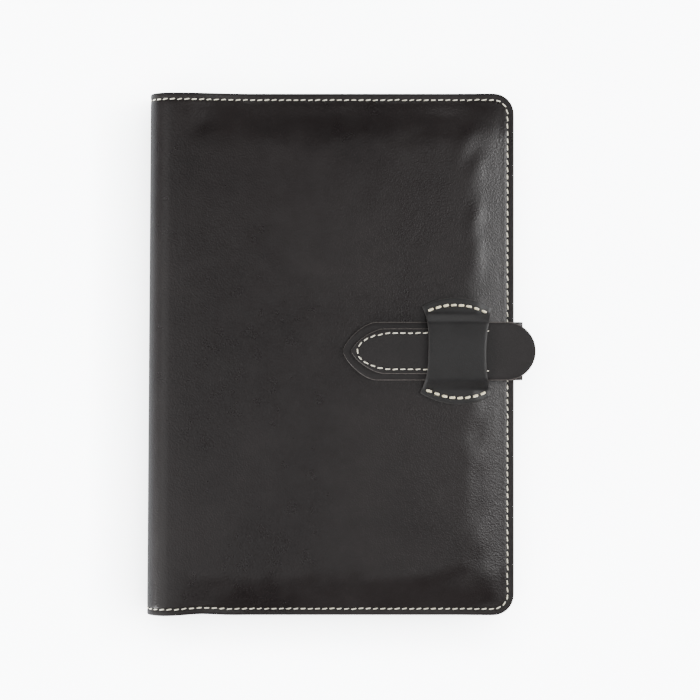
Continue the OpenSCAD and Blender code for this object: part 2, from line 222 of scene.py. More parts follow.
def ripple(x, y, seed):
    """Slow, uneven waves between about -1 and 1, the same each time."""
    rng = np.random.default_rng(seed)
    total = np.zeros(np.shape(x))
    for wave in (90.0, 61.0, 43.0, 29.0):
        heading, phase = rng.uniform(0, 2 * math.pi, 2)
        across = x * math.cos(heading) + y * math.sin(heading)
        total = total + np.sin(across * 2 * math.pi / wave + phase) * wave / 120.0
    return total


# ---------- mesh helpers ----------

def new_piece(name, points_mm, faces, materials, face_materials=None, sharp_deg=38.0):
    """A closed mesh, welded, normals outward, and sharp where its faces turn by more than sharp_deg."""
    mesh = bpy.data.meshes.new(name)
    mesh.from_pydata([tuple(p) for p in np.asarray(points_mm) * MM], [], [tuple(f) for f in faces])
    for material in materials:
        mesh.materials.append(material)
    if face_materials is not None:
        mesh.polygons.foreach_set("material_index", np.asarray(face_materials, dtype=np.int32))
    shape = bmesh.new()
    shape.from_mesh(mesh)
    bmesh.ops.remove_doubles(shape, verts=shape.verts, dist=2e-6)
    bmesh.ops.dissolve_degenerate(shape, edges=shape.edges, dist=1e-6)
    bmesh.ops.recalc_face_normals(shape, faces=shape.faces)
    shape.to_mesh(mesh)
    shape.free()
    mesh.polygons.foreach_set("use_smooth", [True] * len(mesh.polygons))
    mesh.set_sharp_from_angle(angle=math.radians(sharp_deg))
    piece = bpy.data.objects.new(name, mesh)
    bpy.context.scene.collection.objects.link(piece)
    return piece


def two_sided(points_top, points_bottom, faces, loop):
    """A solid from two matching sheets and the wall round their outline.
    Returns points, faces, and 1 for each wall face."""
    n = len(points_top)
    points = np.vstack([points_top, points_bottom])
    flipped = [tuple(i + n for i in reversed(f)) for f in faces]
    wall = [(loop[i - 1], loop[i], loop[i] + n, loop[i - 1] + n) for i in range(len(loop))]
    kinds = [0] * (2 * len(faces)) + [1] * len(wall)
    return points, list(faces) + flipped + wall, kinds


def panel_domain(u0, u1, half_v, corner, insets, step, turns=8):
    """A flat sheet from u0 to u1 with two round corners at u1, and rings along its outline at the insets.
    Returns u and v of its points, its faces, and its outline as a loop of points."""
    nu = max(2, round((u1 - corner - u0) / step))
    nv = max(2, round(2 * (half_v - corner) / step))
    us = np.linspace(u0, u1 - corner, nu + 1)
    vs = np.linspace(-(half_v - corner), half_v - corner, nv + 1)
    points = [(u, v) for u in us for v in vs]

    def at(i, j):
        return i * (nv + 1) + j

    faces = [(at(i, j), at(i + 1, j), at(i + 1, j + 1), at(i, j + 1)) for i in range(nu) for j in range(nv)]
    fan = [math.pi / 2 * k / turns for k in range(1, turns)]
    path = [(at(i, nv), 0.0, 1.0) for i in range(nu + 1)]
    path += [(at(nu, nv), math.sin(a), math.cos(a)) for a in fan]
    path += [(at(nu, j), 1.0, 0.0) for j in range(nv, -1, -1)]
    path += [(at(nu, 0), math.cos(a), -math.sin(a)) for a in fan]
    path += [(at(i, 0), 0.0, -1.0) for i in range(nu, -1, -1)]
    ring = [p[0] for p in path]
    head_side, tail_side = [], []
    for inset in insets:
        before = ring
        ring = list(range(len(points), len(points) + len(path)))
        for base, du, dv in path:
            points.append((points[base][0] + du * (corner - inset), points[base][1] + dv * (corner - inset)))
        for k in range(len(path) - 1):
            face = (before[k], before[k + 1], ring[k + 1], ring[k])
            faces.append(face if before[k] != before[k + 1] else (before[k], ring[k + 1], ring[k]))
        head_side.append(ring[0])
        tail_side.append(ring[-1])
    loop = list(ring) + tail_side[-2::-1] + [at(0, j) for j in range(nv + 1)] + head_side[:-1]
    points = np.array(points)
    return points[:, 0], points[:, 1], faces, loop


def strip_domain(stations, half_width, across, edge_width):
    """A strip that runs along x with a half width at each station, and a narrow lane down each edge.
    Returns x and y (from its middle), faces, outline, and 1 for each face in an edge lane."""
    n = across + 3
    inner = np.linspace(-1, 1, across + 1)
    points = []
    for x, w in zip(stations, half_width):
        margin = min(edge_width, w * 0.3)
        points += [(x, -w)] + [(x, lane * (w - margin)) for lane in inner] + [(x, w)]
    count = len(stations)
    faces = [(i * n + j, (i + 1) * n + j, (i + 1) * n + j + 1, i * n + j + 1)
             for i in range(count - 1) for j in range(n - 1)]
    kinds = [int(j in (0, n - 2)) for i in range(count - 1) for j in range(n - 1)]
    loop = [i * n for i in range(count)] + [(count - 1) * n + j for j in range(1, n)]
    loop += [i * n + n - 1 for i in range(count - 2, -1, -1)] + list(range(n - 2, 0, -1))
    points = np.array(points)
    return points[:, 0], points[:, 1], faces, loop, kinds


# ---------- materials ----------

def new_material(name):
    """A material, its node tree, its shader, and the object's coordinates."""
    material = bpy.data.materials.new(name)
    material.use_nodes = True
    tree = material.node_tree
    where = tree.nodes.new("ShaderNodeTexCoord").outputs["Object"]
    return material, tree, tree.nodes["Principled BSDF"], where


def add_node(tree, kind, **settings):
    node = tree.nodes.new(kind)
    for key, value in settings.items():
        if key in node.inputs:
            node.inputs[key].default_value = value
        else:
            setattr(node, key, value)
    return node


def noise(tree, where, scale, detail=4.0, roughness=0.55):
    node = add_node(tree, "ShaderNodeTexNoise", Scale=scale, Detail=detail, Roughness=roughness)
    tree.links.new(where, node.inputs["Vector"])
    return node.outputs["Fac"]


def spread(tree, value, low, high, from_low=0.3, from_high=0.7):
    node = add_node(tree, "ShaderNodeMapRange")
    tree.links.new(value, node.inputs["Value"])
    node.inputs["From Min"].default_value = from_low
    node.inputs["From Max"].default_value = from_high
    node.inputs["To Min"].default_value = low
    node.inputs["To Max"].default_value = high
    return node.outputs["Result"]


def mixed_colour(tree, factor, first, second):
    node = tree.nodes.new("ShaderNodeMix")
    node.data_type = "RGBA"
    tree.links.new(factor, node.inputs["Factor"])
    for socket, value in ((node.inputs[6], first), (node.inputs[7], second)):
        if isinstance(value, tuple):
            socket.default_value = (*value, 1.0)
        else:
            tree.links.new(value, socket)
    return node.outputs[2]


def bumped(tree, shader, layers):
    """Adds bump layers, each (height, strength, distance in metres), one on top of another."""
    normal = None
    for height, strength, distance in layers:
        node = add_node(tree, "ShaderNodeBump", Strength=strength, Distance=distance)
        tree.links.new(height, node.inputs["Height"])
        if normal is not None:
            tree.links.new(normal, node.inputs["Normal"])
        normal = node.outputs["Normal"]
    tree.links.new(normal, shader.inputs["Normal"])


def leather(name, dark, light, rough_low, rough_high, grain=1.0, pores=0.35):
    """Smooth dyed cowhide: mottled colour, a fine grain of small cells, pores, and uneven gloss."""
    material, tree, shader, where = new_material(name)
    cells = add_node(tree, "ShaderNodeTexVoronoi", Scale=1600.0)
    cells.feature = "SMOOTH_F1"
    tree.links.new(where, cells.inputs["Vector"])
    fine = noise(tree, where, 2600.0, 5.0, 0.65)
    lumps = noise(tree, where, 1300.0, 3.0, 0.6)
    clouds = noise(tree, where, 22.0, 5.0, 0.6)
    wear = noise(tree, where, 140.0, 3.0, 0.55)
    tint(tree, shader, clouds, dark, light, 0.35, 0.68)
    gloss = add_node(tree, "ShaderNodeMath", operation="ADD")
    tree.links.new(spread(tree, clouds, rough_low, rough_high), gloss.inputs[0])
    tree.links.new(spread(tree, wear, -0.02, 0.04), gloss.inputs[1])
    tree.links.new(gloss.outputs["Value"], shader.inputs["Roughness"])
    shader.inputs["Specular IOR Level"].default_value = 0.4
    bumped(tree, shader, [(wear, 0.06, 0.0006), (lumps, 0.26 * grain, 0.00016),
                          (cells.outputs["Distance"], 0.40 * grain, 0.0002), (fine, pores, 0.00008)])
    return material


def tint(tree, shader, value, dark, light, *span):
    """Base colour from dark to light as a pattern goes through its span."""
    colour = mixed_colour(tree, spread(tree, value, 0.0, 1.0, *span), dark, light)
    tree.links.new(colour, shader.inputs["Base Color"])


def raw_edge(name, dark, light):
    """Cut edge of the hide: matt, fibrous and a little lighter."""
    material, tree, shader, where = new_material(name)
    fibres = noise(tree, where, 1500.0, 6.0, 0.7)
    tint(tree, shader, fibres, dark, light)
    shader.inputs["Roughness"].default_value = 0.72
    bumped(tree, shader, [(fibres, 0.6, 0.00015)])
    return material


def thread_material(name, dark, light):
    """Waxed linen thread: fine slanting plies, uneven cream colour and a soft sheen."""
    material, tree, shader, where = new_material(name)
    plies = add_node(tree, "ShaderNodeTexWave", Scale=520.0, Distortion=1.5, Detail=2.0)
    plies.bands_direction = "DIAGONAL"
    tree.links.new(where, plies.inputs["Vector"])
    dirt = noise(tree, where, 700.0, 4.0, 0.6)
    tint(tree, shader, dirt, dark, light)
    shader.inputs["Roughness"].default_value = 0.62
    shader.inputs["Sheen Weight"].default_value = 0.8
    bumped(tree, shader, [(plies.outputs["Fac"], 0.55, 0.00012), (dirt, 0.3, 0.0001)])
    return material


def lining_material(name, dark, light):
    """Closely woven lining cloth."""
    material, tree, shader, where = new_material(name)
    weave = []
    for direction in ("X", "Y"):
        wave = add_node(tree, "ShaderNodeTexWave", Scale=420.0, Distortion=0.6, Detail=1.0)
        wave.bands_direction = direction
        tree.links.new(where, wave.inputs["Vector"])
        weave.append(wave.outputs["Fac"])
    both = add_node(tree, "ShaderNodeMath", operation="MULTIPLY")
    tree.links.new(weave[0], both.inputs[0])
    tree.links.new(weave[1], both.inputs[1])
    slub = noise(tree, where, 60.0, 4.0)
    tint(tree, shader, slub, dark, light)
    shader.inputs["Roughness"].default_value = 0.85
    shader.inputs["Sheen Weight"].default_value = 0.1
    bumped(tree, shader, [(both.outputs["Value"], 0.6, 0.0002)])
    return material


def paper_material(name):
    """Cream uncoated paper; its edges show the leaves as fine level lines."""
    material, tree, shader, where = new_material(name)
    leaves = add_node(tree, "ShaderNodeTexWave", Scale=1300.0, Distortion=0.4, Detail=1.0)
    leaves.bands_direction = "Z"
    tree.links.new(where, leaves.inputs["Vector"])
    fibre = noise(tree, where, 900.0, 5.0, 0.6)
    tone = mixed_colour(tree, spread(tree, fibre, 0.0, 1.0), (0.79, 0.75, 0.65), (0.88, 0.85, 0.76))
    tree.links.new(mixed_colour(tree, spread(tree, leaves.outputs["Fac"], 0.0, 0.45, 0.0, 1.0), tone,
                                (0.52, 0.48, 0.40)), shader.inputs["Base Color"])
    shader.inputs["Roughness"].default_value = 0.9
    bumped(tree, shader, [(leaves.outputs["Fac"], 0.5, 0.0001), (fibre, 0.15, 0.0001)])
    return material


def card_material(name, dark, light):
    """Matt coated card with a faint tooth."""
    material, tree, shader, where = new_material(name)
    tooth = noise(tree, where, 1600.0, 5.0, 0.6)
    clouds = noise(tree, where, 30.0)
    tint(tree, shader, clouds, dark, light)
    shader.inputs["Roughness"].default_value = 0.6
    bumped(tree, shader, [(tooth, 0.25, 0.0001)])
    return material


COVER = leather("cover_leather", (0.0096, 0.0074, 0.0074), (0.0150, 0.0121, 0.0119), 0.26, 0.33)
STRAP = leather("strap_leather", (0.0074, 0.0057, 0.0057), (0.0110, 0.0088, 0.0088), 0.42, 0.52, grain=0.35)
KEEPER = leather("keeper_leather", (0.0082, 0.0076, 0.0077), (0.0122, 0.0114, 0.0115), 0.41, 0.49,
                 grain=0.35)
POCKET = leather("pocket_leather", (0.026, 0.020, 0.018), (0.040, 0.031, 0.027), 0.55, 0.66)
CUT_EDGE = raw_edge("cut_edge", (0.030, 0.025, 0.023), (0.092, 0.080, 0.074))
# The keeper's cut edge is kept nearly as dark as its face: partly a dyed edge, partly painted shade for the
# dark gap along its right side.
KEEPER_EDGE_DYE_AND_SHADE = raw_edge("keeper_edge_dye_and_shade", (0.008, 0.007, 0.007), (0.024, 0.021, 0.019))
DYED_EDGE = raw_edge("dyed_edge", (0.011, 0.009, 0.009), (0.028, 0.023, 0.021))
SEAM = thread_material("seam_thread", (0.88, 0.81, 0.60), (0.98, 0.94, 0.79))
BOLD_SEAM = thread_material("keeper_thread", (0.90, 0.78, 0.48), (0.99, 0.92, 0.66))
LINING = lining_material("lining_cloth", (0.024, 0.021, 0.021), (0.040, 0.035, 0.034))
# Near-black caps round each stitch end: painted shade that stands in for the awl holes.
AWL_HOLE_SHADE = raw_edge("awl_hole_painted_shade", (0.004, 0.0035, 0.0035), (0.010, 0.008, 0.008))
PAPER = paper_material("leaf_paper")
CARD = card_material("notebook_card", (0.040, 0.036, 0.036), (0.062, 0.056, 0.055))
BOARD = card_material("stiffener_board", (0.30, 0.27, 0.22), (0.38, 0.35, 0.30))


# ---------- the cover's surface ----------

MARGIN = 3.0            # flat rim outside the seam
BOARD_INSET = 12.2      # the padded board stops this far inside the edge
BOARD_ROUND = 11.5      # its soft edge rounds off over this width at the head
BOARD_ROUND_TAIL = 8.0  # and over this width at the tail
BOARD_CORNER = 22.0     # radius of its corners, measured at the cover's outline
BOARD_SHOULDER = 1.3    # and by this depth
FRONT_DROP = 3.0        # how far the front's rim lies below its padded middle at the fore edge
HEAD_DROP = 0.9         # and this much more at the head and tail, away from the spine
SPINE_LEAN = 1.5        # the spine bulges outwards by this much more at the tail than at the head
HEAD_SPLAY = 0.05       # how far the fold reaches past the cover's height at the head
TAIL_TUCK = 0.8         # and how far the leather beside it is drawn in at the tail
BACK_RISE = 0.8         # how far the back's rim stands off the table
GROOVE = 0.22           # depth of the channel that the seam is pulled into
GROOVE_W = 1.5


def edge_distance(u, v, radius=CORNER_R):
    """Distance inside the outline of one half of the cover, whose fore corners have this radius."""
    qu = u - (EDGE_U - radius)
    qv = np.abs(v) - (HALF_H - radius)
    corner = radius - np.hypot(np.maximum(qu, 0), np.maximum(qv, 0))
    straight = radius - np.maximum(qu, qv)
    return np.where((qu > 0) & (qv > 0), corner, straight)


def seam_channel(u, v):
    return GROOVE * np.exp(-((edge_distance(u, v) - SEAM_INSET) / (GROOVE_W / 2)) ** 2)


def rim_drop(x, y):
    """How far the sewn-down rim of the front cover lies below its padded middle."""
    from_spine = smooth((x - FOLD_X - 3.0) / 34.0)
    head = HEAD_DROP * smooth((np.abs(y) - 96.0) / 10.0) * (1 - smooth((x - 50.0) / 22.0))
    return (FRONT_DROP + head) * np.maximum(from_spine, smooth((x - 40.0) / 20.0))


def board_drop(d, y):
    """How far the padded board's top has rounded off at a distance d inside the cover's edge."""
    width = BOARD_ROUND + (BOARD_ROUND_TAIL - BOARD_ROUND) * smooth(0.5 - y / 160.0)
    return BOARD_SHOULDER * np.clip((BOARD_INSET + width - d) / width, 0, 1) ** 2


def taut_drop(x, y):
    """The leather before it settles: straight from the rim up to the board's edge, then over the board."""
    d = edge_distance(PANEL_U + x - FOLD_X, y, BOARD_CORNER)
    uneven = ripple(1.4 * x, 1.4 * y, 4) + ripple(3.4 * x, 3.4 * y, 8)
    wander = 1.5 * uneven * smooth((d - BOARD_INSET) / 5.0)
    rim, board = rim_drop(x, y), board_drop(d + wander, y)
    rise = np.clip((d - MARGIN) / (BOARD_INSET - MARGIN), 0, 1)
    inside = np.minimum(board, rim)
    return np.where(d < BOARD_INSET, rim + (np.minimum(BOARD_SHOULDER, rim) - rim) * rise, inside)


CELL = 2.6              # mesh spacing of the settled leather
SIM_UNIT = 100.0        # millimetres to one unit of the simulation
SETTLE_FRAMES = 26


def drape_grid():
    nx = round((HALF_W - FOLD_X) / CELL)
    ny = round(2 * HALF_H / CELL)
    return np.linspace(FOLD_X, HALF_W, nx + 1), np.linspace(-HALF_H, HALF_H, ny + 1)


def grid_object(name, heights_mm, xs, ys):
    ny = len(ys)
    points = [(x / SIM_UNIT, y / SIM_UNIT, heights_mm[i, j] / SIM_UNIT) for i, x in enumerate(xs)
              for j, y in enumerate(ys)]
    faces = [(i * ny + j, (i + 1) * ny + j, (i + 1) * ny + j + 1, i * ny + j + 1)
             for i in range(len(xs) - 1) for j in range(ny - 1)]
    mesh = bpy.data.meshes.new(name)
    mesh.from_pydata(points, [], faces)
    grid = bpy.data.objects.new(name, mesh)
    bpy.context.scene.collection.objects.link(grid)
    return grid


def settle_front_leather():
    """Cloth simulation of the front leather, sewn down at its rim and spine, over the padded board.
    Returns the grid and how far the leather lies below the middle at each of its points."""
    xs, ys = drape_grid()
    x, y = np.meshgrid(xs, ys, indexing="ij")
    start = -taut_drop(x, y)
    d = edge_distance(PANEL_U + x - FOLD_X, y)
    free = smooth((d - MARGIN) / 8.0) * smooth((x - FOLD_X - 3.0) / 12.0)
    slack = 0.30 * ripple(x, y, 5) + 0.18 * ripple(2.6 * x, 2.6 * y, 6)
    diagonal = 0.5 * np.exp(-(((x - 67) + (y - 66)) / 8.0) ** 2 - (((x - 67) - (y - 66)) / 30.0) ** 2)
    leather_sheet = grid_object("settling_leather", start + free * (0.15 + slack - diagonal), xs, ys)
    sewn = leather_sheet.vertex_groups.new(name="sewn")
    held = (d <= MARGIN) | (x <= FOLD_X + 3.0)
    sewn.add([int(k) for k in np.flatnonzero(held.ravel())], 1.0, "REPLACE")
    board = grid_object("settling_board", start - 0.25 - 0.3 * (1 - smooth((d - MARGIN) / 6.0)), xs, ys)
    board.modifiers.new("collision", "COLLISION")
    board.collision.thickness_outer = 0.002
    board.collision.cloth_friction = 8.0
    cloth = leather_sheet.modifiers.new("cloth", "CLOTH")
    cloth.settings.quality = 8
    cloth.settings.mass = 0.4
    cloth.settings.tension_stiffness = 60
    cloth.settings.compression_stiffness = 60
    cloth.settings.shear_stiffness = 30
    cloth.settings.bending_stiffness = 12
    cloth.settings.air_damping = 4
    cloth.settings.vertex_group_mass = "sewn"
    cloth.collision_settings.distance_min = 0.002
    cloth.collision_settings.collision_quality = 3
    scene = bpy.context.scene
    for step in range(1, SETTLE_FRAMES + 1):
        scene.frame_set(step)
    settled = leather_sheet.evaluated_get(bpy.context.evaluated_depsgraph_get()).to_mesh()
    heights = np.array([vertex.co.z for vertex in settled.vertices]).reshape(x.shape) * SIM_UNIT
    scene.frame_set(1)
    for helper in (leather_sheet, board):
        mesh = helper.data
        bpy.data.objects.remove(helper)
        bpy.data.meshes.remove(mesh)
    return xs, ys, -heights


def cubic_weights(t):
    return (((-t + 2) * t - 1) * t / 2, ((3 * t - 5) * t * t + 2) / 2,
            ((-3 * t + 4) * t + 1) * t / 2, (t - 1) * t * t / 2)


def sample_grid(xs, ys, values, x, y):
    """Smooth reading between a grid's points."""
    fx = np.clip((x - xs[0]) / (xs[1] - xs[0]), 0, len(xs) - 1.001)
    fy = np.clip((y - ys[0]) / (ys[1] - ys[0]), 0, len(ys) - 1.001)
    i, j = fx.astype(int), fy.astype(int)
    total = np.zeros(np.shape(fx))
    for a, wa in enumerate(cubic_weights(fx - i)):
        for b, wb in enumerate(cubic_weights(fy - j)):
            total += wa * wb * values[np.clip(i + a - 1, 0, len(xs) - 1), np.clip(j + b - 1, 0, len(ys) - 1)]
    return total


def front_drop(x, u, v):
    """How far the front cover's surface lies below the plane over its middle."""
    return sample_grid(*SETTLED, x, v)


def end_shift(x, v):
    """Small shift along the spine: the fold splays at the head, and is drawn in at the tail."""
    near_head = smooth((v / HALF_H - 0.75) / 0.25)
    near_tail = smooth((-v / HALF_H - 0.75) / 0.25)
    splay = HEAD_SPLAY * (1 - smooth((x - FOLD_X - 9.0) / 12.0))
    tuck = TAIL_TUCK * np.exp(-((x - FOLD_X - 13.0) / 9.0) ** 2)
    return near_head * splay + near_tail * tuck


def back_drop(x, u, v):
    away = smooth((x - FOLD_X - 7.0) / 16.0)
    d = edge_distance(u, v)
    return BACK_RISE * (1 - smooth((d - MARGIN) / 12.0)) * away


SETTLED = settle_front_leather()


def cover_point(side):
    """Maps a place on the leather to the row frame: u along the leather from mid-spine, v along the spine,
    and a depth under the outside face. side is 1 for the front cover and -1 for the back cover."""
    drop_of = front_drop if side > 0 else back_drop

    def point(u, v, depth):
        u, v = np.broadcast_arrays(np.asarray(u, float), np.asarray(v, float))
        turn = np.clip((u - SPINE_HALF_FLAT) / SPINE_R, 0, math.pi / 2)
        along = np.maximum(u - PANEL_U, 0)
        x = FOLD_X - SPINE_R * np.cos(turn) + along
        z = np.minimum(u, SPINE_HALF_FLAT) + SPINE_R * np.sin(turn)
        drop = drop_of(x, u, v) * (u > PANEL_U)
        bulge = SPINE_LEAN * (0.40 - 0.55 * np.clip(v / HALF_H, -1, 1))
        x = x + np.cos(turn) * depth - bulge * (1 - smooth((x - FOLD_X + SPINE_R) / 60.0))
        z = z - np.sin(turn) * depth - drop
        return np.stack([x, v + end_shift(x, v), MID_Z + side * z], axis=-1)

    return point


def normal_at(point, u, v, depth=0.0):
    step = 0.05
    du = point(u + step, v, depth) - point(u - step, v, depth)
    dv = point(u, v + step, depth) - point(u, v - step, depth)
    normal = np.cross(du, dv)
    return normal / np.linalg.norm(normal, axis=-1, keepdims=True)


RIM = [6.4, 5.3, 4.4, 3.8, 3.3, 3.0, 2.7, 2.4, 2.1, 1.8, 1.4, 0.9, 0.45, 0.15, 0.0]


def edge_round(u, v, size):
    """Extra depth that rounds a sheet's cut edge."""
    d = np.clip(edge_distance(u, v) / size, 0, 1)
    return size * 0.6 * (1 - np.sqrt(1 - (1 - d) ** 2))


def half_cover_sheet(name, side, top, bottom, materials, u0=0.0, insets=RIM, step=2.4, rounding=0.35):
    """One half of a layer of the cover, from mid-spine (or u0) to the fore edge."""
    u, v, faces, loop = panel_domain(u0, EDGE_U, HALF_H, CORNER_R, insets, step)
    point = cover_point(side)
    soft = edge_round(u, v, rounding)
    points, all_faces, kinds = two_sided(
        point(u, v, top(u, v) + soft), point(u, v, bottom(u, v) - soft), faces, loop)
    return new_piece(name, points, all_faces, materials, kinds)


def bend_back(piece):
    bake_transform(piece)


def bend_front(piece):
    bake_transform(piece)


def pad_depth(u, v, extra=0.0):
    """Thickness of the padded board under the leather at (u, v)."""
    x = FOLD_X + u - PANEL_U
    inside = np.minimum(np.minimum(x - (FOLD_X + 2.5), (HALF_W - 10.5) - x), (HALF_H - 10.5) - np.abs(v))
    return (PAD_T + extra) * smooth(inside / 3.5)


def make_outer_leather():
    def top(u, v):
        return seam_channel(u, v)

    def bottom(u, v):
        return LEATHER_T + 0 * u

    front = half_cover_sheet("front_outer_leather", 1, top, bottom, [COVER, DYED_EDGE])
    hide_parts("front_leather", "spine_leather")
    bend_front(front)
    back = half_cover_sheet("back_outer_leather", -1, top, bottom, [COVER, DYED_EDGE])
    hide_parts("back_leather")
    bend_back(back)


def make_linings():
    def top(u, v):
        return LEATHER_T + 0.02 + pad_depth(u, v)

    def bottom(u, v):
        return top(u, v) + LINING_T

    coarse = [5.5, 3.5, 2.4, 1.2, 0.4, 0.0]
    cloth = [LINING, LINING]
    front = half_cover_sheet("front_lining_cloth", 1, top, bottom, cloth, insets=coarse, rounding=0.2)
    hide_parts("front_lining", "spine_lining")
    bend_front(front)
    back = half_cover_sheet("back_lining_cloth", -1, top, bottom, cloth, insets=coarse, rounding=0.2)
    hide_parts("back_lining")
    bend_back(back)


def make_pockets():
    """Sleeves sewn at the head, fore edge and tail, and open towards the spine."""
    u_mouth = PANEL_U + pocket_low.x - FOLD_X
    slot_x, slot_y = leaf_high.x + 0.6, leaf_high.y + 0.6
    coarse = [5.5, 4.6, 3.8, 3.0, 2.4, 1.2, 0.4, 0.0]

    def over_card(u, v):
        x = FOLD_X + u - PANEL_U
        outside = np.maximum(x - slot_x, np.abs(v) - slot_y)
        return 1 - smooth(outside / 3.2)

    def back_top(u, v):
        lining = LEATHER_T + LINING_T + 0.04 + pad_depth(u, v)
        return np.maximum(lining, (LEATHER_T + PAD_T + LINING_T + CARD_T + 0.04) * over_card(u, v))

    def front_top(u, v):
        return LEATHER_T + LINING_T + 0.06 + pad_depth(u, v)

    def thick(top):
        return lambda u, v: top(u, v) + POCKET_T * 0.9

    back = half_cover_sheet("back_pocket_sleeve", -1, back_top, thick(back_top), [POCKET, DYED_EDGE],
                            u0=u_mouth, insets=coarse, rounding=0.2)
    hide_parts("back_pocket")
    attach(back, "back")
    front = half_cover_sheet("front_pocket_sleeve", 1, front_top, thick(front_top), [POCKET, DYED_EDGE],
                             u0=u_mouth, insets=coarse, rounding=0.2)
    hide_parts("front_pocket")
    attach(front, "front")


PAD_MARGIN = 11.5   # from the edges of the cover to those of the pads


def make_pads():
    """Padded boards, which end in a soft taper under the leather."""
    for name, side, node, body in (("front_pad", 1, "front_board", "front"),
                                   ("back_pad", -1, "back_board", "back")):
        x0, x1 = board_low.x + 0.5, HALF_W - PAD_MARGIN
        nx, ny = 44, 66
        xs = np.linspace(x0, x1, nx + 1)
        ys = np.linspace(-(HALF_H - PAD_MARGIN), HALF_H - PAD_MARGIN, ny + 1)
        u, v = [g.ravel() for g in np.meshgrid(PANEL_U + xs - FOLD_X, ys, indexing="ij")]

        def at(i, j):
            return i * (ny + 1) + j

        faces = [(at(i, j), at(i + 1, j), at(i + 1, j + 1), at(i, j + 1))
                 for i in range(nx) for j in range(ny)]
        loop = [at(i, 0) for i in range(nx)] + [at(nx, j) for j in range(ny)]
        loop += [at(i, ny) for i in range(nx, 0, -1)] + [at(0, j) for j in range(ny, 0, -1)]
        point = cover_point(side)
        points, all_faces, kinds = two_sided(
            point(u, v, LEATHER_T + 0.01 + 0 * u), point(u, v, LEATHER_T + pad_depth(u, v)), faces, loop)
        pad = new_piece(name, points, all_faces, [BOARD, BOARD], kinds)
        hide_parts(node)
        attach(pad, body)


# ---------- stitches ----------

def stitch_mesh(centres, tangents, normals, length, radius, lift, seed, slant_deg=8.0, rings=9, sides=8):
    """Short lengths of thread that come out of one hole, lie on the leather and go down the next, and a
    near-black cap round each end, painted shade that stands in for the awl hole. Returns points, faces and 1
    for each face of a cap."""
    rng = np.random.default_rng(seed)
    points, faces, kinds = [], [], []
    along = np.linspace(-1, 1, rings)
    turns = [2 * math.pi * k / sides for k in range(sides)]

    def tube(rows, kind):
        first = len(points)
        for row in rows:
            points.extend(row)
        count = len(rows)
        for i in range(count - 1):
            for k in range(sides):
                a, b = first + i * sides + k, first + i * sides + (k + 1) % sides
                faces.append((a, b, b + sides, a + sides))
        faces.append(tuple(first + k for k in reversed(range(sides))))
        faces.append(tuple(first + (count - 1) * sides + k for k in range(sides)))
        kinds.extend([kind] * ((count - 1) * sides + 2))

    for centre, tangent, normal in zip(centres, tangents, normals):
        across = np.cross(normal, tangent)
        across /= np.linalg.norm(across)
        slant = math.radians(slant_deg + rng.normal(0, 2.5))
        tangent = tangent * math.cos(slant) + across * math.sin(slant)
        across = np.cross(normal, tangent)
        half = length / 2 * (1 + rng.normal(0, 0.035))
        centre = centre + across * rng.normal(0, 0.05)
        fat = radius * (1 + rng.normal(0, 0.05))
        rows = []
        for s in along:
            rise = lift - (lift + radius * 1.15) * abs(s) ** 5
            size = fat * (1 - 0.28 * abs(s) ** 3)
            middle = centre + tangent * half * s + normal * rise
            rows.append([middle + across * size * math.cos(a) + normal * size * 0.82 * math.sin(a)
                         for a in turns])
        tube(rows, 0)
        # A near-black cap round each end of the stitch: painted shade of its awl hole.
        for end in (-1, 1):
            middle = centre + tangent * (half * 1.04) * end
            rows = [[middle + tangent * size * 0.62 * math.cos(a) + across * size * 0.50 * math.sin(a)
                     + normal * height for a in turns]
                    for size, height in ((0.75, -0.12), (1.0, -0.02), (0.8, 0.05))]
            tube(rows, 1)
    return np.array(points), faces, kinds


def thread_piece(name, centres, tangents, normals, length, radius, lift, seed, material,
                 replaces=None, rides=None, slant_deg=8.0):
    points, faces, kinds = stitch_mesh(centres, tangents, normals, length, radius, lift, seed, slant_deg)
    piece = new_piece(name, points, faces, [material, AWL_HOLE_SHADE], kinds, sharp_deg=70)
    if replaces:
        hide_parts(replaces)
    if rides:
        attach(piece, rides)
    return piece


def seam_places():
    """Places of the edge seam's stitches on one half of the cover: u, v and the seam's direction."""
    radius = CORNER_R - SEAM_INSET
    straight = EDGE_U - CORNER_R
    turn = math.pi / 2 * radius
    fore = HALF_H - CORNER_R
    total = 2 * (straight + turn + fore)
    count = round(total / STITCH_PITCH)
    places = []
    for i in range(count):
        s = (i + 0.5) * total / count
        mirrored = s > total / 2
        if mirrored:
            s = total - s
        if s < straight:
            place = (s, HALF_H - SEAM_INSET, 1.0, 0.0)
        elif s < straight + turn:
            a = (s - straight) / radius
            place = (straight + radius * math.sin(a), fore + radius * math.cos(a), math.cos(a), -math.sin(a))
        else:
            place = (EDGE_U - SEAM_INSET, fore - (s - straight - turn), 0.0, -1.0)
        u, v, du, dv = place
        places.append((u, -v, -du, dv) if mirrored else place)
    return np.array(places)


def make_edge_seams():
    places = seam_places()
    u, v, du, dv = places.T
    on_spine = u < PANEL_U - 1.0
    for side, node, body in ((1, "front_thread", "front"), (-1, "back_thread", "back")):
        point = cover_point(side)
        depth = GROOVE if side > 0 else GROOVE + 0.1
        centres = point(u, v, depth)
        ahead = point(u + du * 0.1, v + dv * 0.1, depth) - centres
        tangents = ahead / np.linalg.norm(ahead, axis=1, keepdims=True)
        normals = normal_at(point, u, v) * side
        for part, mask, rider in (("edge", ~on_spine, body), ("spine", on_spine, None)):
            lift = 0.14 if side > 0 else 0.02
            own = node if rider else "spine_thread" if side > 0 else None
            piece = thread_piece(f"{body}_{part}_stitches", centres[mask], tangents[mask], normals[mask],
                                 STITCH_LEN, THREAD_R, lift, 11 + side, SEAM,
                                 replaces=own, rides=rider)
            if not rider:
                bend_front(piece) if side > 0 else bend_back(piece)


# ---------- strap ----------

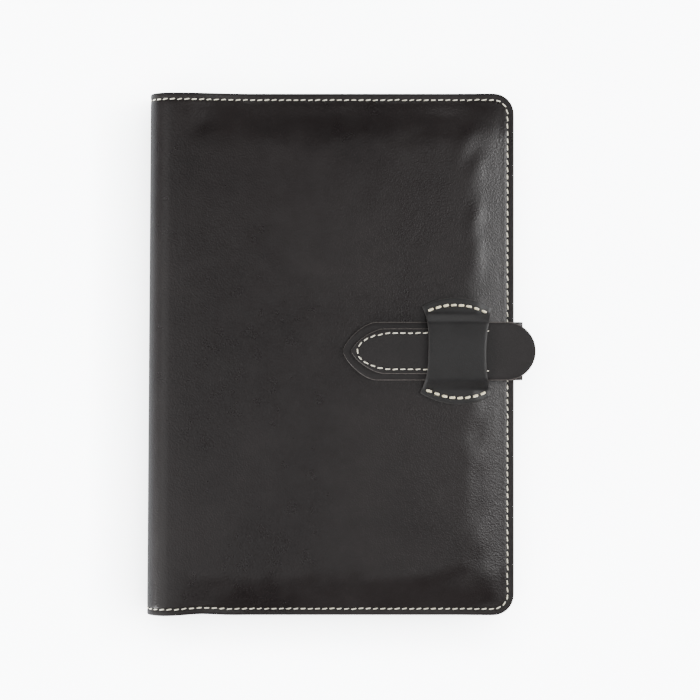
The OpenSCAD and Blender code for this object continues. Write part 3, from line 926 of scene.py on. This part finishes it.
def point_half(x, x0, half):
    """Half width of a strip with a point at x0."""
    t = np.clip((x0 + POINT_LEN - x) / POINT_LEN, 0, 1)
    return half * np.power(np.clip(1 - t ** 1.5, 0, 1), 0.7)


def point_stations(x0, count=16):
    return x0 + POINT_LEN * np.linspace(0, 1, count + 1) ** 1.6


def strap_path(s):
    """The strap's outside face, a length s back from its point: x, z, and the outward normal's x and z."""
    flat = STRAP_TURN_X - tongue_low.x
    turn = math.pi / 2 * STRAP_TURN_R
    high_z = tongue_high.z - STRAP_TURN_R
    low_z = root_low.z + STRAP_TURN_R
    upright = high_z - low_z
    s = np.asarray(s, float)
    a1 = np.clip((s - flat) / STRAP_TURN_R, 0, math.pi / 2)
    a2 = np.clip((s - flat - turn - upright) / STRAP_TURN_R, 0, math.pi / 2)
    down = np.clip(s - flat - turn, 0, upright)
    back = np.maximum(s - flat - 2 * turn - upright, 0)
    x = tongue_low.x + np.minimum(s, flat) + STRAP_TURN_R * (np.sin(a1) - (1 - np.cos(a2))) - back
    z = tongue_high.z - STRAP_TURN_R * (1 - np.cos(a1)) - down - STRAP_TURN_R * np.sin(a2)
    nx = np.sin(a1 + a2)
    nz = np.cos(a1 + a2)
    return x, z, nx, nz


def lay_strap(s, y, depth, width):
    """Strap surface with a faint bow across and slow unevenness."""
    x, z, nx, nz = strap_path(s)
    crown = 0.10 * (1 - (y / width) ** 2) + 0.05 * ripple(s, y, 9)
    depth = depth - crown
    return np.stack([x - nx * depth, STRAP_Y + y, z - nz * depth], axis=-1)


def strap_layer(name, stations, half_width, bottom, place, rounding=0.34, across=14):
    """One layer of the strap's leather, with the size of its cut."""
    s, y, faces, loop, edge_lanes = strip_domain(stations, half_width, across, rounding)
    width = np.interp(s, stations, half_width)
    gap = np.clip((width - np.abs(y)) / rounding, 0, 1)
    soft = rounding * 0.6 * (1 - np.sqrt(1 - (1 - gap) ** 2))
    points, all_faces, kinds = two_sided(place(s, y, soft), place(s, y, bottom(s) - soft), faces, loop)
    kinds[:2 * len(faces)] = edge_lanes * 2
    layer = new_piece(name, points, all_faces, [STRAP, CUT_EDGE], kinds)
    return layer


def make_strap():
    half = STRAP_W / 2
    flat = STRAP_TURN_X - tongue_low.x
    turn = math.pi / 2 * STRAP_TURN_R
    upright = tongue_high.z - root_low.z - 2 * STRAP_TURN_R
    middle = flat + turn + upright / 2
    end = flat + 2 * turn + upright + 2.6
    tip = point_stations(0.0)
    first = np.concatenate([tip, np.linspace(POINT_LEN, flat, 30)[1:], np.linspace(flat, flat + turn, 9)[1:],
                            np.linspace(flat + turn, middle, 6)[1:]])
    second = np.concatenate([np.linspace(middle, flat + turn + upright, 6), flat + turn + upright
                             + np.linspace(0, turn, 9)[1:], [end]])

    def place(s, y, depth):
        return lay_strap(s, y, depth, half)

    def bottom(s):
        return STRAP_T + 0 * s

    front = strap_layer("strap_tongue_leather", first, point_half(first, 0.0, half), bottom, place)
    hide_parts("strap_tongue", "strap_side")
    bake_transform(front)
    rear = strap_layer("strap_side_leather", second, half + 0 * second, bottom, place)
    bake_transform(rear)


def tab_half(x):
    """Half width of the upper layer: a point, a narrow stretch, a widening, and the round pull tab."""
    narrow = STRAP_W / 2 - TAB_STEP
    body = point_half(x, tab_low.x, narrow) + (TAB_R - narrow) * smooth((x - 48.0) / 12.0)
    end = np.sqrt(np.clip(TAB_R ** 2 - np.maximum(x - TAB_CENTRE_X, 0) ** 2, 0, None))
    return np.where(x > TAB_CENTRE_X, end, body)


def tab_surface(x, y, depth):
    curl = 0.9 * smooth((x - 70.0) / 20.0) ** 2
    crown = 0.18 * (1 - (y / TAB_R) ** 2)
    x, y, depth = np.broadcast_arrays(np.asarray(x, float), y, depth)
    return np.stack([x, STRAP_Y + y, tab_high.z + curl + crown - depth], axis=-1)


def make_pull_tab():
    x0 = tab_low.x
    round_end = TAB_CENTRE_X + TAB_R * np.sin(np.linspace(0, math.pi / 2, 18))
    middle = np.linspace(x0 + POINT_LEN, TAB_CENTRE_X, 34)[1:-1]
    stations = np.concatenate([point_stations(x0), middle, round_end])

    def bottom(x):
        return TAB_T + 0.1 - 0.25 * smooth((x - 68.0) / 4.0)

    tab = strap_layer("pull_tab_leather", stations, tab_half(stations), bottom, tab_surface)
    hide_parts("pull_tab")
    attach(tab, "strap_tongue")


def make_strap_seam():
    """One stitch across the point, and a row along each side."""
    x0 = tongue_low.x + TAB_SEAM_INSET * POINT_LEAD
    half = STRAP_W / 2 - TAB_SEAM_INSET
    nose = 16.0
    side_xs = np.linspace(x0 + nose, TAB_SEAM_END, 60)[1:]
    xs = np.concatenate([x0 + nose * np.linspace(0, 1, 50) ** 2, side_xs])
    ys = half * np.sqrt(np.clip(1 - np.clip((x0 + nose - xs) / nose, 0, 1) ** 2, 0, 1))
    ys = ys + 0.8 * smooth((xs - 36.0) / 28.0)
    run = np.concatenate([[0], np.cumsum(np.hypot(np.diff(xs), np.diff(ys)))])
    count = round(run[-1] / 3.3)
    pitch = run[-1] / count
    places = [(0.0, 1)] + [(i * pitch, side) for side in (-1, 1) for i in range(1, count + 1)]
    centres, tangents, normals = [], [], []
    for s, side in places:
        ends = []
        for end in (s - 0.6, s + 0.6):
            y = np.interp(abs(end), run, ys) * (side if end > 0 else -side)
            x = np.interp(abs(end), run, xs) + max(end - run[-1], 0)
            ends.append(tab_surface(x, y, 0.08))
        centres.append((ends[0] + ends[1]) / 2)
        tangents.append((ends[1] - ends[0]) / np.linalg.norm(ends[1] - ends[0]))
        normals.append(np.array([0.0, 0.0, 1.0]))
    thread_piece("strap_stitches", centres, tangents, normals, 2.5, THREAD_R, 0.16, 21, SEAM,
                 replaces="strap_thread", rides="strap_tongue", slant_deg=5.0)


# ---------- keeper ----------

# tail left, tail right, head right, head left
KEEPER_CORNERS = ((38.3, -15.7), (69.1, -19.2), (69.6, 19.9), (39.1, 20.8))
KEEPER_BOW_HEAD = 4.2
KEEPER_BOW_TAIL = 4.2
KEEPER_WAIST_LEFT = 3.15
KEEPER_WAIST_RIGHT = 2.75
ARCH_EDGE = STRAP_W / 2 - 0.6
ARCH_FOOT = STRAP_W / 2 + 4.6
ARCH_CROWN = 0.75


def keeper_plan(a, b):
    """Place on the cover of the keeper's point (a, b), both from -1 to 1, a along x and b along y."""
    (x0, y0), (x1, y1), (x2, y2), (x3, y3) = KEEPER_CORNERS
    s, t = (a + 1) / 2, (b + 1) / 2
    left = x0 * (1 - t) + x3 * t + KEEPER_WAIST_LEFT * (1 - np.abs(b) ** 3)
    right = x1 * (1 - t) + x2 * t - KEEPER_WAIST_RIGHT * (1 - np.abs(b) ** 2.2)
    tail = y0 * (1 - s) + y1 * s - KEEPER_BOW_TAIL * (1 - (a + 0.12) ** 2)
    head = y3 * (1 - s) + y2 * s + KEEPER_BOW_HEAD * (1 - a * a)
    return left * (1 - s) + right * s, tail * (1 - t) + head * t


def cover_top_z(x, y):
    point = cover_point(1)
    return point(PANEL_U + x - FOLD_X, y, 0.0)[..., 2]


def keeper_surface(a, b, depth):
    """The keeper lies on the cover at its two ends and arches over the strap between them."""
    x, y = keeper_plan(a, b)
    off = np.abs(y - STRAP_Y)
    slope = np.clip((off - ARCH_EDGE) / (ARCH_FOOT - ARCH_EDGE), 0, 1)
    crown = ARCH_CROWN * (1 - np.minimum(off / ARCH_EDGE, 1) ** 2)
    foot = cover_top_z(x, y) + KEEPER_T + 0.02
    arch = keeper_high.z + 0.1 + crown
    z = foot + (arch - foot) * (1 - smooth(slope ** 0.85))
    return np.stack([x, y, z - depth], axis=-1)


def make_keeper():
    na, nb = 26, 60
    rim_a, rim_b = 0.022, 0.016
    lanes_a = np.concatenate([[-1], np.linspace(rim_a - 1, 1 - rim_a, na - 1), [1]])
    lanes_b = np.concatenate([[-1], np.linspace(rim_b - 1, 1 - rim_b, nb - 1), [1]])
    a, b = [g.ravel() for g in np.meshgrid(lanes_a, lanes_b, indexing="ij")]

    def at(i, j):
        return i * (nb + 1) + j

    faces = [(at(i, j), at(i + 1, j), at(i + 1, j + 1), at(i, j + 1)) for i in range(na) for j in range(nb)]
    loop = [at(i, 0) for i in range(na)] + [at(na, j) for j in range(nb)]
    loop += [at(i, nb) for i in range(na, 0, -1)] + [at(0, j) for j in range(nb, 0, -1)]
    border = np.minimum((1 - np.abs(a)) * 14.0, (1 - np.abs(b)) * 20.0)
    soft = 0.22 * (1 - np.sqrt(1 - (1 - np.clip(border / 0.5, 0, 1)) ** 2))
    points, all_faces, kinds = two_sided(
        keeper_surface(a, b, soft), keeper_surface(a, b, KEEPER_T - soft), faces, loop)
    # The rim cells take the keeper's dark edge colour: dye and painted shade.
    rim_cells = [int(i in (0, na - 1) or j in (0, nb - 1)) for i in range(na) for j in range(nb)]
    kinds[:2 * len(faces)] = rim_cells * 2
    keeper = new_piece("keeper_loop", points, all_faces, [KEEPER, KEEPER_EDGE_DYE_AND_SHADE], kinds)
    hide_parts("keeper")
    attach(keeper, "front")
    for name, node, b_row, seed in (("keeper_stitches_head", "keeper_thread_top", 0.855, 31),
                                    ("keeper_stitches_tail", "keeper_thread_bottom", -0.875, 32)):
        centres, tangents, normals = [], [], []
        for i in range(8):
            a_here = (i - 3.5) * 3.2 / 13.9
            here = keeper_surface(np.float64(a_here), np.float64(b_row), 0.05)
            ahead = keeper_surface(np.float64(a_here + 0.05), np.float64(b_row), 0.05)
            centres.append(here)
            tangents.append((ahead - here) / np.linalg.norm(ahead - here))
            normals.append(np.array([0.0, 0.0, 1.0]))
        thread_piece(name, centres, tangents, normals, 2.75, 0.52, 0.26, seed, BOLD_SEAM,
                     replaces=node, rides="front", slant_deg=3.0)


# ---------- notebook ----------

LEAF_CORNER = 3.0    # the leaves' two outer corners are cut round
LEAF_CHAMFER = 0.9


def make_leaves():
    """Each half of the notebook as a stack of leaves in small bundles, whose edges don't quite line up."""
    rng = np.random.default_rng(3)
    for name, low, high, node, body in (
            ("back_leaf_stack", leaf_low, leaf_high, "refill_back_leaves", "back"),
            ("front_leaf_stack", front_leaf_low, front_leaf_high, "refill_front_leaves", "leaves")):
        bundles = max(8, round((high.z - low.z) / 0.24))
        zs = np.linspace(low.z, high.z, bundles + 1)
        points, faces = [], []
        for z0, z1 in zip(zs[:-1], zs[1:]):
            dx, dy0, dy1 = rng.uniform(-0.12, 0.0, 3)
            x1 = high.x + dx
            first = len(points)
            y0, y1 = low.y - dy0, high.y + dy1
            corner = ((LEAF_CORNER, 0), (LEAF_CHAMFER, LEAF_CHAMFER), (0, LEAF_CORNER))
            outline = [(low.x, y0)] + [(x1 - a, y0 + b) for a, b in corner]
            outline += [(x1 - a, y1 - b) for a, b in reversed(corner)] + [(low.x, y1)]
            n = len(outline)
            for z in (z0 + 0.012, z1 - 0.012):
                points += [(x, y, z) for x, y in outline]
            faces.append(tuple(first + k for k in reversed(range(n))))
            faces.append(tuple(first + n + k for k in range(n)))
            faces += [(first + k, first + (k + 1) % n, first + n + (k + 1) % n, first + n + k)
                      for k in range(n)]
        stack = new_piece(name, np.array(points), faces, [PAPER], sharp_deg=30)
        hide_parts(node)
        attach(stack, body)


def dress_cad_nodes():
    """The CAD parts that show as they are get their materials."""
    for node, material in (("refill_back_card", CARD), ("refill_front_card", CARD), ("strap_root", STRAP)):
        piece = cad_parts[node]
        piece.data.materials.clear()
        piece.data.materials.append(material)


add_camera(COVER_T)
add_lights()
add_floor()
add_bounce_card()
make_outer_leather()
make_linings()
make_pockets()
make_pads()
make_edge_seams()
make_strap()
make_pull_tab()
make_strap_seam()
make_keeper()
make_leaves()
dress_cad_nodes()
